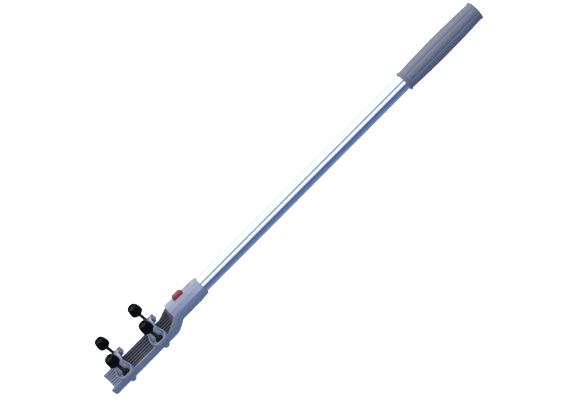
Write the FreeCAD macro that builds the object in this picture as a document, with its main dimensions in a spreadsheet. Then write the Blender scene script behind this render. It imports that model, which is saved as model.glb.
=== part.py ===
import FreeCAD, Part
import math
import os
import re

import Sketcher
from FreeCAD import Placement, Rotation, Vector

# Clamp-on extension handle for the tiller of an outboard motor, in millimetres.
#
# A half-pipe cradle with a ribbed rubber liner lies under the tiller and two saddles are screwed down over
# it.  The cradle runs on into a socket that holds an aluminium tube with a soft grip.  A spring button in
# the tube's end stands up through a window in the socket and locks the tube there.
#
# The origin is on the axis of the clamped tiller, at the middle of the cradle.  +X points along the tube to
# the grip, +Z points up, the way the screws come out, and the handle is the same either side of Y = 0.

# Driving sizes.  Each is one named cell of the sheet, and everything else is worked out from them.
SIZES = {
    # cradle
    "cradle_length": 135.0,
    "cradle_radius": 22.2,
    "shell_wall": 2.2,
    "liner_thickness": 1.8,
    "liner_setback": 1.0,
    "liner_throat_gap": 7.5,
    "groove_width": 1.8,
    "groove_depth": 1.1,
    "groove_overcut": 2.0,
    "rise_length": 21.9,
    "ridge_step": 1.0,
    "neck_length": 17.5,
    "neck_run": 7.5,
    "neck_wall": 2.05,
    "neck_tuck": 0.4,
    # socket
    "tube_axis_height": 4.4,
    "socket_length": 59.0,
    "socket_top_wall": 4.3,
    "socket_top_fall": 2.0,
    "socket_belly_wall": 3.6,
    "socket_depth_fall": 1.7,
    "socket_relief": 16.5,
    "window_margin": 1.25,
    "shoulder_inset": 0.7,
    "shoulder_rise": 0.3,
    "ridge_wall": 4.7,
    "ridge_height": 7.0,
    "socket_narrowing": 1.0,
    "end_wall": 2.5,
    "bore_clearance": 0.25,
    "dimple_radius": 2.8,
    "dimple_depth": 0.8,
    "dimple_position": 45.5,
    # tube and grip
    "tube_radius": 12.7,
    "tube_wall": 1.4,
    "tube_showing": 405.5,
    "grip_length": 145.0,
    "grip_wall": 2.2,
    "grip_barrel_rise": 1.8,
    "grip_lip_wall": 3.4,
    "grip_lip_width": 3.5,
    "grip_end_wall": 5.0,
    "grip_lip_slope": 0.8,
    "grip_end_bevel": 1.5,
    "grip_end_inset": 2.5,
    # latch
    "nose_radius": 6.5,
    "nose_showing": 3.0,
    "nose_chamfer": 1.0,
    "nose_clearance": 0.4,
    "flange_thickness": 1.5,
    "plug_clearance": 0.1,
    "plug_end_wall": 4.0,
    "pocket_floor": 8.0,
    "button_position": 24.5,
    "button_length": 17.0,
    "button_width": 9.5,
    "button_showing": 4.6,
    "button_top_length": 13.6,
    "button_top_width": 7.8,
    "button_clearance": 0.2,
    "button_shoulder": 1.25,
    "shoulder_thickness": 2.0,
    "shoulder_gap": 0.15,
    "spring_radius": 3.5,
    "spring_wire": 0.8,
    "spring_turns": 6.0,
    # clamps
    "clamp_inset": 34.5,
    "screw_offset": 3.8,
    "boss_wall": 1.4,
    "boss_depth": 11.5,
    "boss_taper": 1.6,
    "web_width": 6.0,
    "insert_wall": 0.8,
    "insert_length": 6.0,
    "insert_recess": 0.2,
    "boss_hole_clearance": 0.3,
    "thread_clearance": 0.05,
    "saddle_lift": 3.1,
    "ear_thickness": 4.0,
    "ear_half_width": 12.5,
    "ear_reach": 8.5,
    "ear_corner": 8.0,
    "ear_flank": 1.2,
    "ear_inner_round": 3.0,
    "waist_half_width": 8.5,
    "waist_reach": 16.0,
    "waist_round": 12.0,
    "arch_clearance": 0.6,
    "arch_thickness": 2.8,
    "arch_drop": 0.5,
    "rim_height": 1.9,
    "rim_width": 1.6,
    "ear_rim_height": 1.0,
    # thumb-screws
    "stud_radius": 2.5,
    "stud_engagement": 5.6,
    "stud_in_knob": 12.0,
    "stud_chamfer": 0.5,
    "hole_clearance": 0.08,
    "collar_width": 3.5,
    "collar_thickness": 3.0,
    "collar_gap": 0.1,
    "collar_side_gap": 0.2,
    "clip_width": 2.0,
    "clip_thickness": 1.0,
    "clip_side_gap": 0.5,
    "clip_recess_depth": 1.5,
    "clip_gap": 0.2,
    "knob_bottom": 26.0,
    "knob_radius": 9.6,
    "knob_neck_wall": 1.1,
    "knob_cone_height": 5.0,
    "knob_grip_height": 14.5,
    "knob_dish_radius": 6.6,
    "knob_dish_depth": 2.2,
    "knob_edge": 1.0,
    "flute_radius": 1.6,
    "flute_offset": 0.7,
    "flute_count": 10.0,
}
# The liner's grooves are this many degrees apart.  They are counted from the level at -Y, down under the
# tiller to the level at +Y, with two more above the level each side for the part that climbs to the socket.
RIB_ANGLE = 11.25
GROOVE_NUMBERS = range(-2, 19)

# The neck's circles: how far along the neck each stands, and how far it has shrunk and climbed.
NECK_SECTIONS = ((0.0, 0.0), (0.24, 0.07), (0.48, 0.27), (0.74, 0.635), (1.0, 1.0))

# Cuts that go up through everything above them are this tall.
SKY_HEIGHT = 60.0

# Lengths worked out from the driving sizes.  A formula may use cells and other names of this list.
DERIVED = {
    "cradle_end": "cradle_length / 2",
    "neck_start": "cradle_end - neck_length",
    "rise_start": "cradle_end - rise_length",
    "clamp_place": "cradle_end - clamp_inset",
    "screw_spread": "cradle_radius + screw_offset",
    "liner_radius": "cradle_radius - shell_wall",
    "rib_tip_radius": "cradle_radius - shell_wall - liner_thickness",
    "socket_end": "cradle_end + socket_length",
    "bore_start": "cradle_end + end_wall",
    "flange_start": "bore_start + bore_clearance",
    "tube_start": "flange_start + flange_thickness",
    "grip_start": "socket_end + tube_showing",
    "grip_end": "grip_start + grip_length",
    "tube_end": "grip_end - grip_end_wall",
    "button_centre": "cradle_end + button_position",
    "slot_length": "button_length + 2 * button_clearance",
    "slot_width": "button_width + 2 * button_clearance",
    "pocket_length": "button_length + 2 * button_shoulder + 2 * button_clearance",
    "shoulder_bottom": "tube_axis_height + shoulder_top - shoulder_thickness",
    "floor_height": "tube_axis_height - pocket_floor",
    "ear_top": "saddle_lift + ear_thickness",
    "arch_radius": "rib_tip_radius + arch_clearance",
    "arch_outer": "arch_radius + arch_thickness",
    "rim_radius": "arch_outer + rim_height",
    "arch_centre": "saddle_lift - arch_drop",
    "ear_end": "screw_spread + ear_reach",
    "collar_bottom": "ear_top + collar_gap",
    "clip_bottom": "saddle_lift + clip_recess_depth - clip_gap - clip_thickness",
    "knob_top": "knob_bottom + knob_cone_height + knob_grip_height",
    "rise_height": "tube_axis_height + ridge_height - ridge_step",
    "socket_top": "tube_radius + socket_top_wall",
    "socket_depth": "tube_radius + socket_belly_wall",
    "flat_half_width": "button_width / 2 + window_margin",
    "shoulder_half_width": "tube_radius - shoulder_inset",
    "shoulder_height": "tube_radius + shoulder_rise",
    "ridge_half_width": "tube_radius + ridge_wall",
    "grip_end_radius": "tube_radius + grip_wall",
    "grip_lip_radius": "tube_radius + grip_lip_wall",
    "shoulder_top": "((tube_radius - tube_wall)^2 - button_width^2 / 4)^0.5 - shoulder_gap",
    "insert_radius": "stud_radius + insert_wall",
    "boss_radius": "insert_radius + boss_wall",
    "knob_neck_radius": "stud_radius + knob_neck_wall",
    "clip_radius": "stud_radius + clip_width",
    "clip_recess_radius": "clip_radius + clip_side_gap",
    "collar_radius": "stud_radius + collar_width",
}
SKY = str(SKY_HEIGHT)

doc = FreeCAD.newDocument("TillerExtension")
sheet = doc.addObject("Spreadsheet::Sheet", "Sizes")
for row, (alias, number) in enumerate(SIZES.items(), start=1):
    sheet.set("A%d" % row, alias)
    sheet.set("B%d" % row, str(number))
    sheet.setAlias("B%d" % row, alias)
doc.recompute()


def link(formula):
    """Turn a formula of names into one that reads the sheet, with each derived length written out."""
    def cell(found):
        word = found.group(0)
        return "(%s)" % link(DERIVED[word]) if word in DERIVED else "Sizes." + word
    return re.sub(r"[a-z][a-z_]+", cell, formula)


def size(formula):
    """The value of a formula of cell names, in millimetres."""
    return float(sheet.evalExpression(link(formula)))


def bind(item, **formulas):
    """Tie properties of a document object to formulas of cell names."""
    for name, formula in formulas.items():
        item.setExpression(name, link(formula))


def put(item, x="0", y="0", z="0", turn=None):
    """Place an object at a point given by formulas, turned by turn."""
    if turn:
        item.Placement = Placement(Vector(), turn)
    for axis, formula in zip("xyz", (x, y, z)):
        item.setExpression("Placement.Base." + axis, link(formula))
    return item


ALONG_X = Rotation(Vector(0, 1, 0), 90)


def rod(name, radius, length, x="0", y="0", z="0", turn=None):
    """A cylinder from the point (x, y, z), upwards or, with ALONG_X, towards the grip."""
    item = doc.addObject("Part::Cylinder", name)
    bind(item, Radius=radius, Height=length)
    return put(item, x, y, z, turn)


def cone(name, bottom_radius, top_radius, length, x="0", y="0", z="0"):
    """An upright cone frustum standing on the point (x, y, z)."""
    item = doc.addObject("Part::Cone", name)
    bind(item, Radius1=bottom_radius, Radius2=top_radius, Height=length)
    return put(item, x, y, z)


def block(name, length, width, height, x="0", y="0", z="0"):
    """A box centred on x and y whose underside is at z."""
    item = doc.addObject("Part::Box", name)
    bind(item, Length=length, Width=width, Height=height)
    return put(item, "%s - (%s) / 2" % (x, length), "%s - (%s) / 2" % (y, width), z)


def fuse(name, items):
    item = doc.addObject("Part::MultiFuse", name)
    item.Shapes = items
    item.Refine = False
    return item


def cut(name, base, tool):
    item = doc.addObject("Part::Cut", name)
    item.Base = base
    item.Tool = tool
    item.Refine = False
    return item


def computed(name, shape):
    """A shape worked out from the sheet where no sketch or primitive makes it."""
    item = doc.addObject("Part::Feature", name)
    item.Shape = shape
    return item


def sketch_on(body, role, name):
    """An empty sketch on one of a body's own origin planes."""
    sketch = body.newObject("Sketcher::SketchObject", name)
    plane = next(feature for feature in body.Origin.OriginFeatures if feature.Role == role)
    sketch.AttachmentSupport = [(plane, "")]
    sketch.MapMode = "FlatFace"
    return sketch


def draw_outline(sketch, corners):
    """Draw a closed outline of lines; every corner's two distances from the origin follow formulas."""
    points = [Vector(size(across), size(up), 0) for across, up in corners]
    count = len(points)
    for number in range(count):
        sketch.addGeometry(Part.LineSegment(points[number], points[(number + 1) % count]), False)
    for number in range(count):
        sketch.addConstraint(Sketcher.Constraint("Coincident", number, 2, (number + 1) % count, 1))
    for number, (across, up) in enumerate(corners):
        for kind, formula in (("DistanceX", across), ("DistanceY", up)):
            index = sketch.addConstraint(Sketcher.Constraint(kind, -1, 1, number, 1, size(formula)))
            sketch.setExpression("Constraints[%d]" % index, link(formula))


def turned(name, corners, along_x=False):
    """A body turned about its own Z axis, or X axis, from an outline of (along, radius) corners."""
    body = doc.addObject("PartDesign::Body", name)
    sketch = sketch_on(body, "XZ_Plane", name + "_outline")
    draw_outline(sketch, corners if along_x else [(radius, along) for along, radius in corners])
    spin = body.newObject("PartDesign::Revolution", name + "_turning")
    spin.Profile = sketch
    spin.ReferenceAxis = (sketch, ["H_Axis" if along_x else "V_Axis"])
    spin.Angle = 360
    doc.recompute()
    return body


def padded(name, role, corners, depth):
    """A body made by pushing an outline out by depth, half to each side of its plane."""
    body = doc.addObject("PartDesign::Body", name)
    sketch = sketch_on(body, role, name + "_outline")
    draw_outline(sketch, corners)
    pad = body.newObject("PartDesign::Pad", name + "_pad")
    pad.Profile = sketch
    pad.SideType = "Symmetric"
    bind(pad, Length=depth)
    doc.recompute()
    return body


def tube_ring(name, outer, inner, length, x="0", y="0", z="0", turn=None):
    """A plain ring or tube."""
    return cut(name, rod(name + "_outside", outer, length, x, y, z, turn),
               rod(name + "_inside", inner, length, x, y, z, turn))


# ---- shapes that two or more pieces need ----


def neck_solid(inset):
    """The throat between cradle and socket: circles that shrink and climb, drawn in by inset."""
    start, end = size("neck_start"), size("cradle_length / 2 + neck_run")
    lower = size("(ridge_half_width^2 + ridge_height^2 - socket_depth^2)"
                 " / (2 * (ridge_height + socket_depth))")
    small_radius, climb = size("socket_depth - neck_tuck") + lower, size("tube_axis_height") + lower
    rings = []
    for fraction, blend in NECK_SECTIONS:
        radius = size("cradle_radius") + (small_radius - size("cradle_radius")) * blend - inset
        centre = Vector(start + (end - start) * fraction, 0, climb * blend)
        rings.append(Part.Wire(Part.makeCircle(radius, centre, Vector(1, 0, 0))))
    return Part.makeLoft(rings, True)


def socket_section(x, share, depth):
    """The socket's outline at x: a flat top, two slopes, a ridge each side and a round belly."""
    axis = size("tube_axis_height")
    narrower = size("socket_narrowing") * share
    fall = size("socket_top_fall") * share
    half = [(size("flat_half_width") - narrower, size("socket_top") - fall),
            (size("shoulder_half_width") - 2 * narrower, size("shoulder_height") - fall * 0.7),
            (size("ridge_half_width") - narrower, size("ridge_height") - fall * 0.3)]
    right = [Vector(x, -across, axis + up) for across, up in half]
    left = [Vector(x, across, axis + up) for across, up in half]
    belly = Part.Arc(right[2], Vector(x, 0, axis - depth), left[2]).toShape()
    top = Part.makePolygon([left[2], left[1], left[0], right[0], right[1], right[2]])
    return Part.Wire(top.Edges + [belly])


def socket_solid():
    """The socket, straight to its relief and then drawn up underneath to its end."""
    start, end = size("cradle_end"), size("socket_end")
    bend = end - size("socket_relief")
    share = (bend - start) / (end - start)
    depth, fall = size("socket_depth"), size("socket_depth_fall")
    level, drawn_up = socket_section(bend, share, depth), socket_section(end, 1.0, depth - fall)
    first = Part.makeLoft([socket_section(start, 0.0, depth), level], True, True)
    last = Part.makeLoft([level, drawn_up], True, True)
    return first.fuse(last).removeSplitter()


def open_sky():
    """All that lies above the cradle's walls, whose edges climb from the level to the socket's ridges."""
    return padded("open_sky", "XZ_Plane", [
        ("-cradle_length", "0"), ("rise_start", "0"),
        ("rise_start + rise_length * 0.18", "rise_height * 0.13"),
        ("rise_start + rise_length * 0.36", "rise_height * 0.31"), ("cradle_end", "rise_height"),
        ("cradle_end", SKY), ("-cradle_length", SKY)], "6 * cradle_radius")


# ---- cradle, liner and inserts ----


def outside_throat():
    """The solid that closes in on the cradle's space where the neck climbs to the socket."""
    beyond = block("beyond_neck_start", "cradle_length", "4 * cradle_radius", "4 * cradle_radius",
                   "neck_start + cradle_length / 2", "0", "-2 * cradle_radius")
    return cut("outside_throat", beyond, computed("throat", neck_solid(size("neck_wall"))))


def clamp_places():
    """The end of the cradle and the side that each thumb-screw stands on, with signs for X and Y."""
    return [(end_name, side_name, along, across)
            for end_name, along in (("open_end", "-"), ("socket_end", ""))
            for side_name, across in (("right", "-"), ("left", ""))]


def cradle(closing_in, sky):
    """One moulding: half-pipe, neck, socket and four screw bosses."""
    shell = [rod("cradle_pipe", "cradle_radius", "cradle_length - neck_length", "-cradle_length / 2",
                 turn=ALONG_X)]
    neck = neck_solid(0.0)
    ridge_top = size("tube_axis_height + ridge_height")
    reach = size("cradle_radius") * 4
    lower_part = Part.makeBox(reach * 4, reach, reach, Vector(-reach, -reach / 2, ridge_top - reach))
    shell.append(computed("neck", neck.common(lower_part)))
    for end_name, side_name, along, across in clamp_places():
        name = "%s_%s_boss" % (end_name, side_name)
        x, y = along + "clamp_place", across + "screw_spread"
        shell.append(rod(name, "boss_radius", "boss_depth - boss_taper", x, y, "boss_taper - boss_depth"))
        shell.append(cone(name + "_foot", "boss_radius - boss_taper", "boss_radius", "boss_taper",
                          x, y, "-boss_depth"))
        middle = across + "(cradle_radius + (screw_offset - shell_wall) / 2)"
        shell.append(block(name + "_web", "web_width", "screw_offset + shell_wall",
                           "boss_depth - boss_taper", x, middle, "boss_taper - boss_depth"))
    pipe = rod("cradle_space", "liner_radius", "1.5 * cradle_length", "-cradle_length", turn=ALONG_X)
    hollow = cut("hollow_shell", fuse("cradle_solid", shell), cut("channel", pipe, closing_in))
    open_shell = cut("open_shell", hollow, sky)
    solid = fuse("cradle_and_socket", [open_shell, computed("socket", socket_solid())])
    spaces = [rod("bore", "tube_radius + bore_clearance", "socket_length", "bore_start", "0",
                  "tube_axis_height", ALONG_X),
              rod("nose_opening", "nose_radius + nose_clearance", "end_wall * 4",
                  "cradle_end - end_wall", "0", "tube_axis_height", ALONG_X),
              block("button_window", "slot_length", "slot_width", SKY, "button_centre", "0",
                    "tube_axis_height"),
              rod("dimple", "dimple_radius", SKY, "cradle_length / 2 + dimple_position", "0",
                  "tube_axis_height + socket_top - socket_top_fall * dimple_position / socket_length"
                  " - dimple_depth")]
    for end_name, side_name, along, across in clamp_places():
        name = "%s_%s" % (end_name, side_name)
        x, y = along + "clamp_place", across + "screw_spread"
        spaces.append(rod(name + "_insert_seat", "insert_radius", "insert_length + insert_recess", x, y,
                          "-insert_length - insert_recess"))
        spaces.append(rod(name + "_boss_hole", "stud_radius + boss_hole_clearance", "boss_depth", x, y,
                          "-boss_depth"))
    return cut("cradle_body", solid, fuse("cradle_spaces", spaces))


def liner(closing_in, sky):
    """Ribbed rubber pad that lines the cradle: a thick skin with a groove between each two ribs."""
    skin = tube_ring("liner_skin", "liner_radius", "rib_tip_radius",
                     "cradle_length - liner_setback - liner_throat_gap", "liner_setback - cradle_end",
                     turn=ALONG_X)
    grooves = []
    for number in GROOVE_NUMBERS:
        name = "groove_%d" % (number + 2)
        groove = doc.addObject("Part::Box", name)
        bind(groove, Length="cradle_length * 2", Width="groove_width", Height="groove_depth + groove_overcut")
        turn = Rotation(Vector(1, 0, 0), 90 + RIB_ANGLE * number)
        reach = turn.multVec(Vector(0, -size("groove_width") / 2, size("rib_tip_radius - groove_overcut")))
        groove.Placement = Placement(Vector(-size("cradle_length"), reach.y, reach.z), turn)
        grooves.append(groove)
    ribbed = cut("ribbed_skin", skin, fuse("grooves", grooves))
    fitted = cut("fitted_skin", ribbed, closing_in)
    return cut("tiller_liner", fitted, sky)


def inserts():
    """Four brass threaded inserts, pressed flush into the screw bosses."""
    rings = []
    for end_name, side_name, along, across in clamp_places():
        rings.append(tube_ring("%s_%s_insert" % (end_name, side_name), "insert_radius",
                               "stud_radius + thread_clearance", "insert_length",
                               along + "clamp_place", across + "screw_spread",
                               "-insert_length - insert_recess"))
    return fuse("threaded_inserts", rings)


# ---- saddles ----


def rounded_outline(corners):
    """A closed flat outline of straight runs joined by tangent arcs, from (x, y, radius) corners."""
    count = len(corners)
    starts, ends, arcs = [], [], []
    for number, (x, y, radius) in enumerate(corners):
        before, after = corners[number - 1], corners[(number + 1) % count]
        here = Vector(x, y, 0)
        back = (Vector(before[0], before[1], 0) - here).normalize()
        on = (Vector(after[0], after[1], 0) - here).normalize()
        half_angle = back.getAngle(on) / 2
        trim = radius / math.tan(half_angle)
        toward_centre = (back + on).normalize()
        middle = here + toward_centre * (radius / math.sin(half_angle) - radius)
        starts.append(here + back * trim)
        ends.append(here + on * trim)
        arcs.append(Part.Arc(here + back * trim, middle, here + on * trim).toShape())
    edges = []
    for number in range(count):
        edges.append(arcs[number])
        edges.append(Part.makeLine(ends[number], starts[(number + 1) % count]))
    return Part.Wire(edges)


def saddle_plan(inset):
    """The saddle seen from above: two ears joined by a narrower waist."""
    ear, waist = size("ear_half_width") - inset, size("waist_half_width") - inset
    reach, narrow = size("ear_end") - inset, size("waist_reach")
    corner, soft = size("ear_corner") - inset, size("waist_round")
    flank, inner_round = reach - corner - size("ear_flank"), size("ear_inner_round")
    quarter = [(waist, narrow, soft), (ear, flank, inner_round), (ear, reach, corner)]
    corners = quarter + [(-x, y, r) for x, y, r in reversed(quarter)]
    corners += [(-x, -y, r) for x, y, r in quarter]
    corners += [(x, -y, r) for x, y, r in reversed(quarter)]
    return Part.Face(rounded_outline(corners))


def gusset_profile():
    """End view of the rims: the arch's rim circle with a straight slope down to the end of each ear."""
    radius, centre = size("rim_radius"), size("arch_centre")
    end, top = size("ear_end"), size("ear_top") + size("ear_rim_height")
    bottom = size("saddle_lift")
    distance = math.hypot(end, top - centre)
    lean = math.atan2(top - centre, end) + math.acos(radius / distance)
    touch = (radius * math.cos(lean), centre + radius * math.sin(lean))
    right = [Vector(0, end, bottom), Vector(0, end, top), Vector(0, touch[0], touch[1])]
    left = [Vector(0, -point.y, point.z) for point in reversed(right)]
    crown = Part.Arc(right[2], Vector(0, 0, centre + radius), left[0]).toShape()
    sides = Part.makePolygon([left[0], left[1], left[2], right[0], right[1], right[2]])
    return Part.Face(Part.Wire(sides.Edges + [crown]))


def saddle(name, along):
    """Arched clamp with an ear each side, a rim round its outline and a hole for each screw."""
    middle = Vector(size(along + "clamp_place"), 0, 0)
    tall = Vector(0, 0, SKY_HEIGHT)
    width = Vector(2 * size("ear_half_width"), 0, 0)
    profile = gusset_profile().translated(middle - width / 2).extrude(width)
    plan = saddle_plan(0.0).translated(middle).extrude(tall)
    inner = saddle_plan(size("rim_width")).translated(middle + Vector(0, 0, size("ear_top"))).extrude(tall)
    outside = computed(name + "_outside", profile.common(plan))
    pocket_block = computed(name + "_pocket_block", inner)
    start = along + "clamp_place - 2 * ear_half_width"
    crown = rod(name + "_crown", "arch_outer", "4 * ear_half_width", start, "0", "arch_centre", ALONG_X)
    pocket = cut(name + "_pocket", pocket_block, crown)
    spaces = [pocket,
              rod(name + "_arch", "arch_radius", "4 * ear_half_width", start, "0", "arch_centre", ALONG_X),
              block(name + "_throat", "4 * ear_half_width", "2 * arch_radius", "saddle_lift + arch_drop",
                    along + "clamp_place", "0", "-arch_drop")]
    for side_name, across in (("right", "-"), ("left", "")):
        x, y = along + "clamp_place", across + "screw_spread"
        spaces.append(rod("%s_%s_hole" % (name, side_name), "stud_radius + hole_clearance", SKY, x, y,
                          "0"))
        spaces.append(rod("%s_%s_recess" % (name, side_name), "clip_recess_radius",
                          "clip_recess_depth + saddle_lift", x, y, "0"))
        spaces.append(rod("%s_%s_spot_face" % (name, side_name), "collar_radius + collar_side_gap", SKY, x, y,
                          "ear_top"))
    return cut(name, outside, fuse(name + "_spaces", spaces))


# ---- thumb-screws ----


def knob(name, x, y):
    """Fluted thumb knob: a cone below, a fluted grip above and a dished top."""
    body = turned(name, [
        ("knob_bottom", "stud_radius"), ("knob_bottom", "knob_neck_radius"),
        ("knob_bottom + knob_cone_height", "knob_radius - knob_edge"),
        ("knob_bottom + knob_cone_height + knob_edge / 2", "knob_radius"),
        ("knob_top - knob_edge", "knob_radius"), ("knob_top", "knob_radius - knob_edge"),
        ("knob_top", "knob_dish_radius"), ("knob_top - knob_dish_depth", "knob_dish_radius - knob_edge"),
        ("knob_top - knob_dish_depth", "0"), ("knob_bottom + stud_in_knob", "0"),
        ("knob_bottom + stud_in_knob", "stud_radius")])
    before = body.Shape.Volume
    flute_sketch = sketch_on(body, "XY_Plane", name + "_flute_outline")
    flute_sketch.addGeometry(Part.Circle(Vector(size("knob_radius + flute_offset"), 0, 0), Vector(0, 0, 1),
                                         size("flute_radius")), False)
    placed = flute_sketch.addConstraint(Sketcher.Constraint("DistanceX", -1, 1, 0, 3,
                                                            size("knob_radius + flute_offset")))
    flute_sketch.setExpression("Constraints[%d]" % placed, link("knob_radius + flute_offset"))
    flute_sketch.addConstraint(Sketcher.Constraint("PointOnObject", 0, 3, -1))
    width = flute_sketch.addConstraint(Sketcher.Constraint("Radius", 0, size("flute_radius")))
    flute_sketch.setExpression("Constraints[%d]" % width, link("flute_radius"))
    flute = body.newObject("PartDesign::Pocket", name + "_flute")
    flute.Profile = flute_sketch
    flute.Type = "Length"
    flute.Reversed = True
    bind(flute, Length="knob_top + knob_edge")
    doc.recompute()
    flutes = body.newObject("PartDesign::PolarPattern", name + "_flutes")
    flutes.Originals = [flute]
    flutes.Axis = (flute_sketch, ["N_Axis"])
    flutes.Angle = 360
    bind(flutes, Occurrences="flute_count")
    body.Tip = flutes
    doc.recompute()
    if not body.Shape.Volume < before:
        raise RuntimeError(name + ": the flutes cut nothing")
    return put(body, x, y)


def thumb_screw(place, x, y):
    """The four pieces of one thumb-screw, all on the axis through x and y."""
    stud = turned(place + "_stud", [
        ("-stud_engagement", "0"), ("-stud_engagement", "stud_radius - stud_chamfer"),
        ("stud_chamfer - stud_engagement", "stud_radius"), ("knob_bottom + stud_in_knob", "stud_radius"),
        ("knob_bottom + stud_in_knob", "0")])
    put(stud, x, y)
    collar = turned(place + "_collar", [
        ("collar_bottom", "stud_radius"), ("collar_bottom", "collar_radius"),
        ("collar_bottom + collar_thickness * 0.6", "collar_radius"),
        ("collar_bottom + collar_thickness", "collar_radius * 0.8"),
        ("collar_bottom + collar_thickness", "stud_radius")])
    put(collar, x, y)
    clip = turned(place + "_clip", [
        ("clip_bottom", "stud_radius"), ("clip_bottom", "clip_radius"),
        ("clip_bottom + clip_thickness", "clip_radius"), ("clip_bottom + clip_thickness", "stud_radius")])
    put(clip, x, y)
    return [knob(place + "_knob", x, y), stud, collar, clip]


# ---- tube, grip and latch ----


def handle_tube():
    """Aluminium tube with a slot on top, near its lower end, for the latch button."""
    length = "tube_end - tube_start"
    wall = tube_ring("tube_wall_solid", "tube_radius", "tube_radius - tube_wall", length, "tube_start", "0",
                     "tube_axis_height", ALONG_X)
    slot = block("tube_slot", "slot_length", "slot_width", "2 * tube_radius", "button_centre", "0",
                 "tube_axis_height")
    return cut("handle_tube", wall, slot)


def hand_grip():
    """Soft sleeve, fuller in the middle, with a lip at each end and a closed outer end."""
    body = turned("hand_grip", [
        ("grip_start", "tube_radius"), ("grip_start", "grip_lip_radius"),
        ("grip_start + grip_lip_width", "grip_lip_radius"),
        ("grip_start + grip_lip_width + grip_lip_slope", "grip_end_radius"),
        ("grip_start + grip_length * 0.3", "grip_end_radius + grip_barrel_rise * 0.84"),
        ("grip_start + grip_length * 0.5", "grip_end_radius + grip_barrel_rise"),
        ("grip_start + grip_length * 0.7", "grip_end_radius + grip_barrel_rise * 0.84"),
        ("grip_end - grip_lip_width - grip_lip_slope", "grip_end_radius"),
        ("grip_end - grip_lip_width", "grip_lip_radius"), ("grip_end - grip_end_bevel", "grip_lip_radius"),
        ("grip_end", "grip_lip_radius - grip_end_inset"), ("grip_end", "0"), ("tube_end", "0"),
        ("tube_end", "tube_radius")],
        along_x=True)
    return put(body, z="tube_axis_height")


def latch_plug():
    """Moulded plug in the end of the tube, with a nose through the end wall and a pocket for the button."""
    inner = "(tube_radius - tube_wall - plug_clearance)"
    finish = "button_centre + pocket_length / 2 + plug_end_wall"
    body = turned("latch_plug_blank", [
        ("cradle_end - nose_showing", "0"), ("cradle_end - nose_showing", "nose_radius - nose_chamfer"),
        ("cradle_end - nose_showing + nose_chamfer", "nose_radius"), ("flange_start", "nose_radius"),
        ("flange_start", "tube_radius - plug_clearance"), ("tube_start", "tube_radius - plug_clearance"),
        ("tube_start", inner), (finish, inner), (finish, "0")], along_x=True)
    put(body, z="tube_axis_height")
    pocket = block("latch_pocket", "pocket_length", "slot_width", SKY, "button_centre", "0", "floor_height")
    return cut("latch_plug", body, pocket)


def latch_button():
    """Push button: a shoulder held under the tube wall, a straight shank and a tapered head."""
    shoulder = block("button_shoulder_block", "button_length + 2 * button_shoulder", "button_width",
                     "shoulder_thickness", "button_centre", "0", "shoulder_bottom")
    shank = block("button_shank", "button_length", "button_width",
                  "socket_top - shoulder_top + shoulder_thickness", "button_centre", "0", "shoulder_bottom")
    head = doc.addObject("Part::Wedge", "button_head")
    inset = "(button_length - button_top_length) / 2"
    side = "(button_width - button_top_width) / 2"
    bind(head, Xmin="0", Xmax="button_length", X2min=inset, X2max="button_length - " + inset,
         Ymin="0", Ymax="button_showing", Zmin="0", Zmax="button_width", Z2min=side,
         Z2max="button_width - " + side)
    put(head, "button_centre - button_length / 2", "button_width / 2", "tube_axis_height + socket_top",
        Rotation(Vector(1, 0, 0), 90))
    return fuse("latch_button", [shoulder, shank, head])


def latch_spring():
    """Coil spring that stands on the pocket floor and pushes the button up."""
    low = size("floor_height")
    high = size("shoulder_bottom")
    wire = size("spring_wire") / 2
    radius = size("spring_radius") - wire
    travel = high - low - 2 * wire
    turns = size("spring_turns")
    helix = Part.makeHelix(travel / turns, travel, radius)
    section = Part.Wire(Part.makeCircle(wire, Vector(radius, 0, 0), Vector(0, 1, 0)))
    coil = Part.Wire(helix).makePipeShell([section], True, True)
    item = computed("latch_spring", coil)
    item.Placement = Placement(Vector(size("button_centre"), 0, low + wire), Rotation())
    return item


def build():
    """Make every sub-part in the order it goes together."""
    closing_in = outside_throat()
    sky = open_sky()
    pieces = [cradle(closing_in, sky), liner(closing_in, sky), inserts()]
    for end_name, along in (("open_end", "-"), ("socket_end", "")):
        pieces.append(saddle(end_name + "_saddle", along))
    for end_name, side_name, along, across in clamp_places():
        pieces += thumb_screw("%s_%s" % (end_name, side_name), along + "clamp_place", across + "screw_spread")
    pieces += [handle_tube(), hand_grip(), latch_plug(), latch_button(), latch_spring()]
    return pieces


def check(pieces):
    """Stop if any object failed or any sub-part is not a valid solid."""
    for item in doc.Objects:
        if "Invalid" in item.State or "Error" in item.State:
            raise RuntimeError("%s failed: %s" % (item.Name, item.State))
    for piece in pieces:
        if piece.Shape.isNull() or not piece.Shape.isValid() or not piece.Shape.Solids:
            raise RuntimeError(piece.Label + " has no valid shape")


sub_parts = build()
doc.recompute()
check(sub_parts)
os.makedirs("parts", exist_ok=True)
for piece in sub_parts:
    piece.Shape.exportStep("parts/%s.step" % piece.Label)
    box = piece.Shape.BoundBox
    print("%-26s solids %2d  volume %10.1f  x %7.1f %7.1f  y %6.1f %6.1f  z %6.1f %6.1f" % (
        piece.Label, len(piece.Shape.Solids), piece.Shape.Volume, box.XMin, box.XMax, box.YMin, box.YMax,
        box.ZMin, box.ZMax))
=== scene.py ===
"""Visible pieces, finishes and studio of a clamp-on tiller extension handle, as a Blender add-on."""
import math

import bmesh
import bpy
import numpy as np
from bpy.props import FloatProperty, FloatVectorProperty, IntProperty, PointerProperty
from mathutils import Matrix, Vector


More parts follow.
